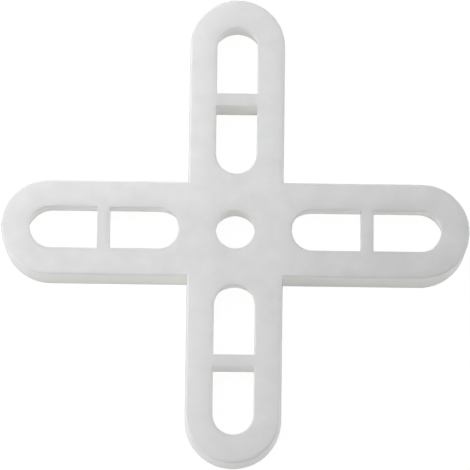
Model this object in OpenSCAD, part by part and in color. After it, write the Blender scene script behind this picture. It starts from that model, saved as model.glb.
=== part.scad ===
// Cross-shaped tile spacer, moulded in one piece in natural polyethylene.
// Four equal round-ended arms meet in a plain hub with a round hole, and each arm is cored out
// by a long round-ended slot that a straight cross rib divides near its middle.
// It lies flat: z = 0 is the back face that it rests on, and z = thickness is the front face.
// The origin is the centre of the cross on the back face, with the arms along X and Y.

/* [Cross] */
// Span from one arm's end to the opposite arm's end, at the back face (mm)
span = 48.2; // [42:0.1:60]
// Joint width that an arm fills, at the back face (mm)
joint_width = 10; // [9:0.1:12]
// Height of the spacer from the back face to the front face (mm)
thickness = 6; // [5:0.1:7]
// Draft of the outer walls, which narrow towards the front face (degrees)
outer_draft = 1; // [0.5:0.1:2]
// Radius of the rounded outer edge round the front face (mm)
edge_r = 0.25; // [0.1:0.05:0.4]

/* [Slots] */
// Width of a slot at the front face (mm)
slot_w = 4.15; // [3.6:0.05:4.6]
// Distance from the hub's centre to the inner end of a slot, at the front face (mm)
slot_start = 5.8; // [5.6:0.1:7]
// Wall between a slot's outer end and the arm's end, at the front face (mm)
tip_wall = 2.95; // [2:0.05:3.5]
// Draft of the slot walls, which widen towards the back face (degrees)
slot_draft = 5.5; // [1:0.1:6]
// Radius of the rounded edge round a slot on the front face (mm)
slot_edge_r = 0.15; // [0.1:0.05:0.25]

/* [Cross ribs] */
// Distance from the hub's centre to the near side of a rib, at the front face (mm)
rib_start = 12.9; // [12.5:0.1:13.5]
// Width of a rib along its arm, at the front face (mm)
rib_w = 1.25; // [1:0.05:1.8]
// Draft of a rib's two sides, which narrow towards the back face (degrees)
rib_draft = 1.2; // [0.5:0.1:2]

/* [Centre hole] */
// Diameter of the straight part of the hole, at the front face (mm)
hole_d = 4; // [3:0.1:4.4]
// Length of the straight part, measured down from the front face (mm)
hole_land = 2.4; // [1:0.1:3]
// Diameter of the hole at the back face, which it widens to below the straight part (mm)
hole_back_d = 4.6; // [4.5:0.1:5.2]

/* [Hidden] */
$fn = 96;
// How far the cutting shapes pass the front and back faces
past = 1;
// The round end of an arm is struck from this distance along it
end_c = span / 2 - joint_width / 2;
// The end of an arm at the front face
face_reach = span / 2 - thickness * tan(outer_draft);
// The two round ends of a slot are struck from these distances along the arm
slot_c0 = slot_start + slot_w / 2;
slot_c1 = face_reach - tip_wall - slot_w / 2;

// Half of an arm's section, from its middle plane out to the drafted wall
module arm_half_section() {
    cz = thickness - edge_r;
    cx = joint_width / 2 - cz * tan(outer_draft) - edge_r / cos(outer_draft);
    polygon([
        [0, 0],
        [joint_width / 2, 0],
        [cx + edge_r * cos(outer_draft), cz + edge_r * sin(outer_draft)],
        [cx, thickness],
        [0, thickness]
    ]);
    translate([cx, cz]) circle(edge_r);
}

// Half of a slot's section, which flares to the back face and has a rounded front edge
module slot_half_section() {
    cz = thickness - slot_edge_r;
    wall_at_cz = slot_w / 2 + slot_edge_r * tan(slot_draft);
    cx = wall_at_cz + slot_edge_r / cos(slot_draft);
    difference() {
        polygon([
            [0, -past],
            [slot_w / 2 + (thickness + past) * tan(slot_draft), -past],
            [cx - slot_edge_r * cos(slot_draft), cz - slot_edge_r * sin(slot_draft)],
            [cx, thickness],
            [cx, thickness + past],
            [0, thickness + past]
        ]);
        translate([cx, cz]) circle(slot_edge_r);
    }
}

// A straight length of a section along X, from x0 to x1
module along_x(x0, x1) {
    translate([x0, 0, 0]) rotate([90, 0, 90]) linear_extrude(x1 - x0) children();
}

// One bar of the cross along X, with a round end at each side
module bar() {
    along_x(-end_c, end_c) {
        arm_half_section();
        mirror([1, 0]) arm_half_section();
    }
    translate([end_c, 0, 0]) rotate([0, 0, -90]) rotate_extrude(angle = 180) arm_half_section();
    translate([-end_c, 0, 0]) rotate([0, 0, 90]) rotate_extrude(angle = 180) arm_half_section();
}

// The round-ended core that makes one slot, along +X
module slot_core() {
    along_x(slot_c0, slot_c1) {
        slot_half_section();
        mirror([1, 0]) slot_half_section();
    }
    translate([slot_c1, 0, 0]) rotate([0, 0, -90]) rotate_extrude(angle = 180) slot_half_section();
    translate([slot_c0, 0, 0]) rotate([0, 0, 90]) rotate_extrude(angle = 180) slot_half_section();
}

// The plain bar that stays standing across a slot
module rib() {
    over = past * tan(rib_draft);
    in = thickness * tan(rib_draft);
    reach_y = slot_w;
    translate([0, reach_y, 0]) rotate([90, 0, 0]) linear_extrude(2 * reach_y) polygon([
        [rib_start + in + over, -past],
        [rib_start + rib_w - in - over, -past],
        [rib_start + rib_w + over, thickness + past],
        [rib_start - over, thickness + past]
    ]);
}

// The centre hole: straight below the front face, then widening to the back face
module centre_hole() {
    low = thickness - hole_land;
    grow = (hole_back_d - hole_d) / 2 / low;
    translate([0, 0, low]) cylinder(h = hole_land + past, d = hole_d);
    translate([0, 0, -past]) cylinder(
        h = low + past,
        d1 = hole_back_d + 2 * grow * past,
        d2 = hole_d
    );
}

// The whole spacer, in translucent milky white
module cross_spacer() {
    color([0.90, 0.90, 0.89]) difference() {
        union() {
            bar();
            rotate([0, 0, 90]) bar();
        }
        for (a = [0, 90, 180, 270]) rotate([0, 0, a]) difference() {
            slot_core();
            rib();
        }
        centre_hole();
    }
}

cross_spacer();
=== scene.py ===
"""The look of a cross tile spacer, moulded in natural polyethylene, lying on a white table."""
import math

import bpy
from mathutils import Matrix, Vector


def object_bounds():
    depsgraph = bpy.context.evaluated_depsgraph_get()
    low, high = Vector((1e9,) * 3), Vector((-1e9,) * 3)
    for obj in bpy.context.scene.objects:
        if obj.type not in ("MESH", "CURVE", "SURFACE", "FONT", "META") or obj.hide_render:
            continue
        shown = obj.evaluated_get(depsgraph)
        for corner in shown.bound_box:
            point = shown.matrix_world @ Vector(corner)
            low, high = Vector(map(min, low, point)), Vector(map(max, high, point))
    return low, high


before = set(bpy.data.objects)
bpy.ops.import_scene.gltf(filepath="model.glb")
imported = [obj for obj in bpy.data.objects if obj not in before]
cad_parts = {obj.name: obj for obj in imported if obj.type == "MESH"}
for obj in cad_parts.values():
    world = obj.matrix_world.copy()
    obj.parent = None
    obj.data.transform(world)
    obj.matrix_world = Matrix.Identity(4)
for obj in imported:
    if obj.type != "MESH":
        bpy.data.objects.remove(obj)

cad_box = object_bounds()

MM = 0.001
THICKNESS = cad_box[1][2]

# The photograph is square, and it looks down on the spacer, tilted a little towards the viewer's side.
# The angles are in degrees. On the front face 24 mm take 234.5 pixels, and the camera's distance
# from it is the reach
PICTURE_PX = 470
SENSOR_MM = 36.0
CAMERA_TILT = 8.7
CAMERA_ROLL = 0.75
SCALE_PX_PER_MM = 234.5 / 24.0
CAMERA_REACH_PX = 3263
HUB_IN_PICTURE_PX = (235.33, 229.2)

# The plastic's cloudy patches, the texture of the tool, and how far light wanders inside
BROAD_PATCH = 18 * MM
FINE_PATCH = 2 * MM
GRAIN = 0.3 * MM
GRAIN_DEPTH = 0.003 * MM
SCATTER_REACH = 6 * MM
# Which pattern the broad patches follow, and how much more they weigh than the fine ones
CLOUD_PATTERN = 233.6
BROAD_WEIGHT = 1.5

# The table reaches well past the photograph's view, and it lies a little below the back face, so
# that the two never share a plane
TABLE_HALF = 600 * MM
TABLE_GAP = 0.02 * MM
# With the light that falls on its paint, this glow comes to plain white
TABLE_GLOW = 0.96

# Name, place and side in metres, and power in watts of each studio lamp. All of them face the hub.
# The three near ones are close enough to fade across the spacer, so its right arm is the darkest
LAMPS = (
    ("left_softbox", (-0.30, 0.05, 0.30), 0.20, 0.40),
    ("near_high_lamp", (-0.05, 0.02, 0.20), 0.10, 0.072),
    ("near_front_lamp", (-0.10, -0.06, 0.07), 0.08, 0.040),
    ("near_back_lamp", (-0.03, 0.08, 0.06), 0.05, 0.030),
    ("right_fill", (0.30, 0, 0.30), 0.20, 0.38),
)


def linear(hex_colour):
    """An sRGB hex colour as linear red, green, blue and an alpha of 1"""
    parts = [int(hex_colour[i : i + 2], 16) / 255 for i in (1, 3, 5)]
    return [p / 12.92 if p <= 0.04045 else ((p + 0.055) / 1.055) ** 2.4 for p in parts] + [1.0]


def add(tree, kind, settings=None, links=None):
    """Adds one node to a tree: settings are its properties or socket values, links its inputs"""
    node = tree.nodes.new(kind)
    for key, value in (settings or {}).items():
        if isinstance(key, str) and hasattr(node, key):
            setattr(node, key, value)
        else:
            node.inputs[key].default_value = value
    for key, source in (links or {}).items():
        tree.links.new(source, node.inputs[key])
    return node


def new_material(name):
    """An empty node material and its tree"""
    material = bpy.data.materials.new(name)
    material.use_nodes = True
    material.node_tree.nodes.clear()
    return material, material.node_tree


def seen_by_eye(tree):
    """1 for the rays that show a thing to the eye, straight, in gloss or through glass, 0 for the rest"""
    path = add(tree, "ShaderNodeLightPath").outputs
    direct = add(
        tree,
        "ShaderNodeMath",
        {"operation": "MAXIMUM"},
        {0: path["Is Camera Ray"], 1: path["Is Glossy Ray"]},
    )
    seen = add(
        tree,
        "ShaderNodeMath",
        {"operation": "MAXIMUM"},
        {0: direct.outputs[0], 1: path["Is Transmission Ray"]},
    )
    return seen.outputs[0]


def natural_polyethylene():
    """Natural polyethylene, injection moulded: milky and translucent, so light that enters one wall
    glows through to the next rim, with a soft satin skin off the tool and faint cloudy flow marks"""
    material, tree = new_material("natural_polyethylene_moulded")
    where = add(tree, "ShaderNodeTexCoord").outputs["Object"]

    # Cloudy tone where the melt folded as it flowed, in broad patches and finer ones
    broad = add(
        tree,
        "ShaderNodeTexNoise",
        {"noise_dimensions": "4D", "W": CLOUD_PATTERN, "Scale": 1 / BROAD_PATCH, "Detail": 1.0},
        {"Vector": where},
    )
    fine = add(tree, "ShaderNodeTexNoise", {"Scale": 1 / FINE_PATCH, "Detail": 2.0}, {"Vector": where})
    cloud = add(
        tree,
        "ShaderNodeMath",
        {"operation": "MULTIPLY_ADD", 1: BROAD_WEIGHT},
        {0: broad.outputs["Fac"], 2: fine.outputs["Fac"]},
    )
    # The sum of the two runs from about 0.7 to 1.8
    tone = add(
        tree,
        "ShaderNodeMapRange",
        {"From Min": 0.7, "From Max": 1.8},
        {"Value": cloud.outputs[0]},
    )
    cloudy = add(
        tree,
        "ShaderNodeMix",
        {"data_type": "RGBA", 6: linear("#EBEBEB"), 7: linear("#FEFEFE")},
        {0: tone.outputs["Result"]},
    )

    # Fine matt texture of the tool, drawn coarse enough to show
    grain = add(tree, "ShaderNodeTexNoise", {"Scale": 1 / GRAIN, "Detail": 2.0}, {"Vector": where})
    skin = add(
        tree,
        "ShaderNodeBump",
        {"Strength": 0.1, "Distance": GRAIN_DEPTH},
        {"Height": grain.outputs["Fac"]},
    )

    # Side walls get a painted warm tint, which stands in for the light that leaves them after a longer
    # way through the plastic. The upright share of the part's own normal tells them apart
    normal = add(tree, "ShaderNodeTexCoord").outputs["Normal"]
    height = add(tree, "ShaderNodeSeparateXYZ", links={"Vector": normal}).outputs["Z"]
    upright = add(tree, "ShaderNodeMath", {"operation": "ABSOLUTE"}, {0: height})
    # The walls of the slots and the hole lean under. Light goes from wall to wall there, which adds
    # warmth of its own, so their painted tint is weaker
    under = add(
        tree,
        "ShaderNodeMapRange",
        {"From Min": -0.05, "From Max": 0.0, "To Min": 0.6, "To Max": 0.0},
        {"Value": height},
    )
    untinted = add(
        tree,
        "ShaderNodeMath",
        {"operation": "MAXIMUM"},
        {0: upright.outputs[0], 1: under.outputs["Result"]},
    )
    # The painted warm tint on the walls, mixed into the cloudy colour of the faces
    colour = add(
        tree,
        "ShaderNodeMix",
        {"data_type": "RGBA", 6: linear("#F9F9EF")},
        {0: untinted.outputs[0], 7: cloudy.outputs[2]},
    )

    # The rounded edges come off the tool glossier than the faces, so they catch a thin light line.
    # Their normals lie between upright and level, where this product is largest
    aside = add(tree, "ShaderNodeMath", {"operation": "SUBTRACT", 0: 1.0}, {1: upright.outputs[0]})
    between = add(tree, "ShaderNodeMath", {"operation": "MULTIPLY"}, {0: height, 1: aside.outputs[0]})
    edge = add(
        tree,
        "ShaderNodeMath",
        {"operation": "MULTIPLY", "use_clamp": True, 1: 7.0},
        {0: between.outputs[0]},
    )
    # Light crosses the thin rounded edges from both sides, so they scatter it fully
    scatter = add(
        tree,
        "ShaderNodeMapRange",
        {"To Min": 0.5, "To Max": 1.0},
        {"Value": edge.outputs[0]},
    )
    # The satin is a little uneven, in the same patches as the fine cloud
    satin = add(
        tree,
        "ShaderNodeMapRange",
        {"To Min": 0.28, "To Max": 0.31},
        {"Value": fine.outputs["Fac"]},
    )
    # Red wanders furthest inside and blue least, so deep places look warm. The coat's index is above
    # the plastic's own, so that the light line shows at the photograph's size
    plastic = add(
        tree,
        "ShaderNodeBsdfPrincipled",
        {
            "Subsurface Radius": (1.0, 0.95, 0.85),
            "Subsurface Scale": SCATTER_REACH,
            "IOR": 1.51,
            "Coat IOR": 2.0,
            "Coat Roughness": 0.3,
        },
        {
            "Base Color": colour.outputs[2],
            "Subsurface Weight": scatter.outputs["Result"],
            "Roughness": satin.outputs["Result"],
            "Normal": skin.outputs["Normal"],
            "Coat Weight": edge.outputs[0],
        },
    )
    add(tree, "ShaderNodeOutputMaterial", links={"Surface": plastic.outputs["BSDF"]})
    return material


def white_table_paint():
    """White painted board: it glows white to the eye and still takes the spacer's soft shadow,
    and for the light it is a plain matt white that lifts the lower walls"""
    material, tree = new_material("white_table_paint")
    glow = add(tree, "ShaderNodeEmission", {"Color": linear("#FFFFFF"), "Strength": TABLE_GLOW})
    shaded = add(tree, "ShaderNodeBsdfDiffuse", {"Color": linear("#606060")})
    shown = add(tree, "ShaderNodeAddShader", links={0: glow.outputs[0], 1: shaded.outputs[0]})
    matt = add(tree, "ShaderNodeBsdfDiffuse", {"Color": linear("#F0F0F0")})
    paint = add(
        tree,
        "ShaderNodeMixShader",
        links={0: seen_by_eye(tree), 1: matt.outputs[0], 2: shown.outputs[0]},
    )
    add(tree, "ShaderNodeOutputMaterial", links={"Surface": paint.outputs[0]})
    return material


def lay_table():
    """The square table top under the spacer"""
    signs = ((-1, -1), (1, -1), (1, 1), (-1, 1))
    corners = [(x * TABLE_HALF, y * TABLE_HALF, -TABLE_GAP) for x, y in signs]
    mesh = bpy.data.meshes.new("table_top")
    mesh.from_pydata(corners, [], [(0, 1, 2, 3)])
    mesh.materials.append(white_table_paint())
    table = bpy.data.objects.new("table_top", mesh)
    bpy.context.scene.collection.objects.link(table)


def set_world():
    """White surroundings to the eye and in gloss, which leave the lighting to the lamps"""
    world = bpy.data.worlds.new("white_surroundings")
    bpy.context.scene.world = world
    world.use_nodes = True
    tree = world.node_tree
    tree.nodes.clear()
    white = add(
        tree,
        "ShaderNodeBackground",
        {"Color": linear("#FFFFFF")},
        {"Strength": seen_by_eye(tree)},
    )
    add(tree, "ShaderNodeOutputWorld", links={"Surface": white.outputs[0]})


def add_lamp(name, place, side, watts):
    """A square studio lamp at a place, turned to face the hub"""
    data = bpy.data.lights.new(name, "AREA")
    data.shape = "SQUARE"
    data.size = side
    data.energy = watts
    lamp = bpy.data.objects.new(name, data)
    lamp.location = place
    lamp.rotation_euler = (-Vector(place)).to_track_quat("-Z", "Y").to_euler()
    bpy.context.scene.collection.objects.link(lamp)


def set_camera():
    """A long lens looking almost straight down, from the side of the arm that points at the viewer"""
    tilt = math.radians(CAMERA_TILT)
    roll = math.radians(CAMERA_ROLL)
    away = Vector((0, -math.sin(tilt), math.cos(tilt)))
    level_right = Vector((1, 0, 0))
    level_up = away.cross(level_right)
    right = level_right * math.cos(roll) + level_up * math.sin(roll)
    up = level_up * math.cos(roll) - level_right * math.sin(roll)

    # The camera looks at the middle of the picture, and the hub lies a little aside from it
    metres_per_px = MM / SCALE_PX_PER_MM
    hub = Vector((0, 0, THICKNESS))
    off_x = (PICTURE_PX / 2 - HUB_IN_PICTURE_PX[0]) * metres_per_px
    off_y = (HUB_IN_PICTURE_PX[1] - PICTURE_PX / 2) * metres_per_px
    place = hub + right * off_x + up * off_y + away * CAMERA_REACH_PX * metres_per_px

    data = bpy.data.cameras.new("camera")
    data.sensor_width = SENSOR_MM
    data.lens = SENSOR_MM * CAMERA_REACH_PX / PICTURE_PX
    data.clip_start = 10 * MM
    camera = bpy.data.objects.new("camera", data)
    turn = Matrix((right, up, away)).transposed()
    camera.matrix_world = Matrix.Translation(place) @ turn.to_4x4()
    bpy.context.scene.collection.objects.link(camera)
    bpy.context.scene.camera = camera


set_camera()
polyethylene = natural_polyethylene()
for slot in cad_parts["cross_spacer"].material_slots:
    slot.material = polyethylene
lay_table()
set_world()
for lamp in LAMPS:
    add_lamp(*lamp)

bpy.context.scene.view_settings.view_transform = "Standard"
